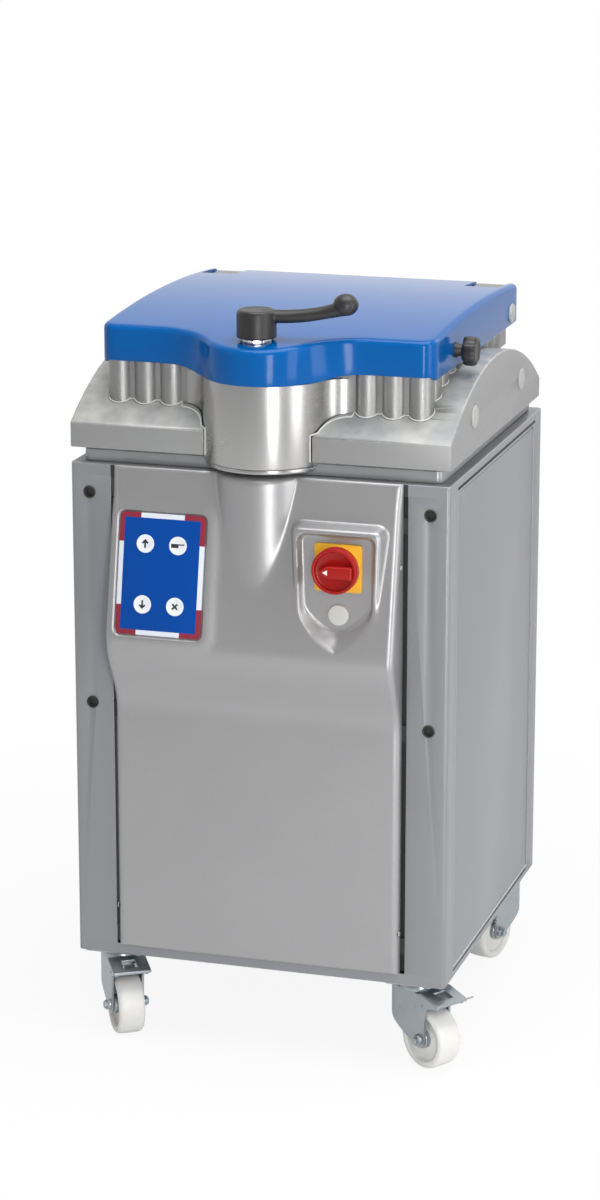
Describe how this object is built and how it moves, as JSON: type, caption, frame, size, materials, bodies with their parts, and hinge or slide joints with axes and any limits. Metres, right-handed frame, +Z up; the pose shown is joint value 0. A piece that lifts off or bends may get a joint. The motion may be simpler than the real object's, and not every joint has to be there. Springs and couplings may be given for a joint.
{
  "type": "dough divider",
  "caption": "Wheeled hydraulic dough divider: grey cabinet, ribbed vat with press plungers and knives, hinged blue lid with a locking lever, keypad and rotary main switch.",
  "frame": {"origin": "on the floor, below the middle of the casing", "axes": "+X to the right seen from the front, +Y to the rear, +Z up; the front faces -Y"},
  "size_m": [0.6599, 0.7143, 1.2596],
  "materials": {
    "casing_grey": "satin powder coat",
    "panel_silver": "metallic silver, satin",
    "cowl_grey": "satin light grey",
    "cast_metal": "cast, partly smooth",
    "lid_blue": "gloss blue coat",
    "white_plastic": "off-white",
    "food_plastic": "white",
    "black_plastic": "matt black",
    "keypad_blue": "printed foil",
    "switch_yellow": "yellow",
    "switch_red": "red",
    "chrome": "bright",
    "steel": "machined",
    "machine_paint": "machine enamel",
    "zinc": "bright zinc plate",
    "wheel_nylon": "white nylon"
  },
  "bodies": {
    "cabinet": {"base_pan": "casing_grey", "top_deck": "casing_grey", "front_posts": "casing_grey", "rear_posts": "casing_grey", "front_rails": "casing_grey", "left_side_panel": "casing_grey", "right_side_panel": "casing_grey", "rear_panel": "casing_grey", "cable_gland": "black_plastic", "post_plugs": "black_plastic", "front_panel": "panel_silver", "panel_plug": "white_plastic", "keypad": "keypad_blue", "switch_plate": "switch_yellow", "switch_body": "black_plastic", "neck_ring": "casing_grey", "vat": "cast_metal", "boss_plate": "cast_metal", "lock_keeper": "steel", "hinge_shaft": "steel", "cowl": "cowl_grey", "cowl_caps": "white_plastic", "cowl_spacers": "steel", "tie_rods": "steel", "crosshead": "steel", "press_cylinder": "machine_paint", "knife_cylinders": "machine_paint", "oil_tank": "machine_paint", "pump_motor": "machine_paint", "valve_block": "machine_paint", "control_box": "machine_paint", "castor_plates": "zinc"},
    "lid": {"lid": "lid_blue", "lid_plate": "food_plastic", "lid_caps": "white_plastic", "lock_collar": "chrome"},
    "lock": {"lock_handle": "black_plastic", "lock_spindle": "steel"},
    "clamp_knob": {"clamp_knob": "black_plastic"},
    "main_switch": {"switch_knob": "switch_red"},
    "key_up": {"key_up": "white_plastic"},
    "key_cut": {"key_cut": "white_plastic"},
    "key_down": {"key_down": "white_plastic"},
    "key_stop": {"key_stop": "white_plastic"},
    "press": {"press_ram": "steel", "press_platform": "steel", "press_plungers": "food_plastic"},
    "knives": {"knife_rams": "steel", "knife_carrier": "steel", "knife_blades": "steel"},
    "castor_fl": {"fork_fl": "zinc"},
    "wheel_fl": {"wheel_fl": "wheel_nylon"},
    "pedal_fl": {"pedal_fl": "zinc"},
    "castor_fr": {"fork_fr": "zinc"},
    "wheel_fr": {"wheel_fr": "wheel_nylon"},
    "pedal_fr": {"pedal_fr": "zinc"},
    "castor_rl": {"fork_rl": "zinc"},
    "wheel_rl": {"wheel_rl": "wheel_nylon"},
    "castor_rr": {"fork_rr": "zinc"},
    "wheel_rr": {"wheel_rr": "wheel_nylon"}
  },
  "joints": [
    {"name": "lid_hinge", "type": "hinge", "parent": "cabinet", "child": "lid", "pos_m": [0, 0.236, 1.1425], "axis": [-1, 0, 0], "range_deg": [0, 80]},
    {"name": "lock_turn", "type": "hinge", "parent": "lid", "child": "lock", "pos_m": [0, -0.313, 1.19], "axis": [0, 0, 1], "range_deg": [-90, 0]},
    {"name": "clamp_knob_turn", "type": "hinge", "parent": "lid", "child": "clamp_knob", "pos_m": [0.298, -0.14, 1.1495], "axis": [1, 0, 0], "range_deg": [0, 360]},
    {"name": "switch_turn", "type": "hinge", "parent": "cabinet", "child": "main_switch", "pos_m": [0.142, -0.37, 0.838], "axis": [0, 1, 0], "range_deg": [-90, 0]},
    {"name": "key_up_press", "type": "slide", "parent": "cabinet", "child": "key_up", "axis": [0, 0.9819, -0.1892], "range_m": [0, 0.0006], "stiffness_N_per_m": 800},
    {"name": "key_cut_press", "type": "slide", "parent": "cabinet", "child": "key_cut", "axis": [0, 0.9819, -0.1892], "range_m": [0, 0.0006], "stiffness_N_per_m": 800},
    {"name": "key_down_press", "type": "slide", "parent": "cabinet", "child": "key_down", "axis": [0, 0.9819, -0.1892], "range_m": [0, 0.0006], "stiffness_N_per_m": 800},
    {"name": "key_stop_press", "type": "slide", "parent": "cabinet", "child": "key_stop", "axis": [0, 0.9819, -0.1892], "range_m": [0, 0.0006], "stiffness_N_per_m": 800},
    {"name": "press_lift", "type": "slide", "parent": "cabinet", "child": "press", "axis": [0, 0, 1], "range_m": [0, 0.096]},
    {"name": "knife_lift", "type": "slide", "parent": "cabinet", "child": "knives", "axis": [0, 0, 1], "range_m": [0, 0.1085]},
    {"name": "castor_fl_swivel", "type": "hinge", "parent": "cabinet", "child": "castor_fl", "pos_m": [-0.256, -0.257, 0.12], "axis": [0, 0, 1], "continuous": true},
    {"name": "wheel_fl_spin", "type": "hinge", "parent": "castor_fl", "child": "wheel_fl", "pos_m": [-0.24075, -0.28048, 0.05], "axis": [0.8387, 0.5446, 0], "continuous": true},
    {"name": "pedal_fl_tread", "type": "hinge", "parent": "castor_fl", "child": "pedal_fl", "pos_m": [-0.23639, -0.28719, 0.109], "axis": [0.8387, 0.5446, 0], "range_deg": [0, 12]},
    {"name": "castor_fr_swivel", "type": "hinge", "parent": "cabinet", "child": "castor_fr", "pos_m": [0.256, -0.257, 0.12], "axis": [0, 0, 1], "continuous": true},
    {"name": "wheel_fr_spin", "type": "hinge", "parent": "castor_fr", "child": "wheel_fr", "pos_m": [0.27894, -0.27306, 0.05], "axis": [0.5736, 0.8192, 0], "continuous": true},
    {"name": "pedal_fr_tread", "type": "hinge", "parent": "castor_fr", "child": "pedal_fr", "pos_m": [0.28549, -0.27765, 0.109], "axis": [0.5736, 0.8192, 0], "range_deg": [0, 12]},
    {"name": "castor_rl_swivel", "type": "hinge", "parent": "cabinet", "child": "castor_rl", "pos_m": [-0.256, 0.257, 0.12], "axis": [0, 0, 1], "continuous": true},
    {"name": "wheel_rl_spin", "type": "hinge", "parent": "castor_rl", "child": "wheel_rl", "pos_m": [-0.26739, 0.23142, 0.05], "axis": [0.9135, -0.4067, 0], "continuous": true},
    {"name": "castor_rr_swivel", "type": "hinge", "parent": "cabinet", "child": "castor_rr", "pos_m": [0.256, 0.257, 0.12], "axis": [0, 0, 1], "continuous": true},
    {"name": "wheel_rr_spin", "type": "hinge", "parent": "castor_rr", "child": "wheel_rr", "pos_m": [0.24781, 0.23022, 0.05], "axis": [0.9563, -0.2924, 0], "continuous": true}
  ]
}
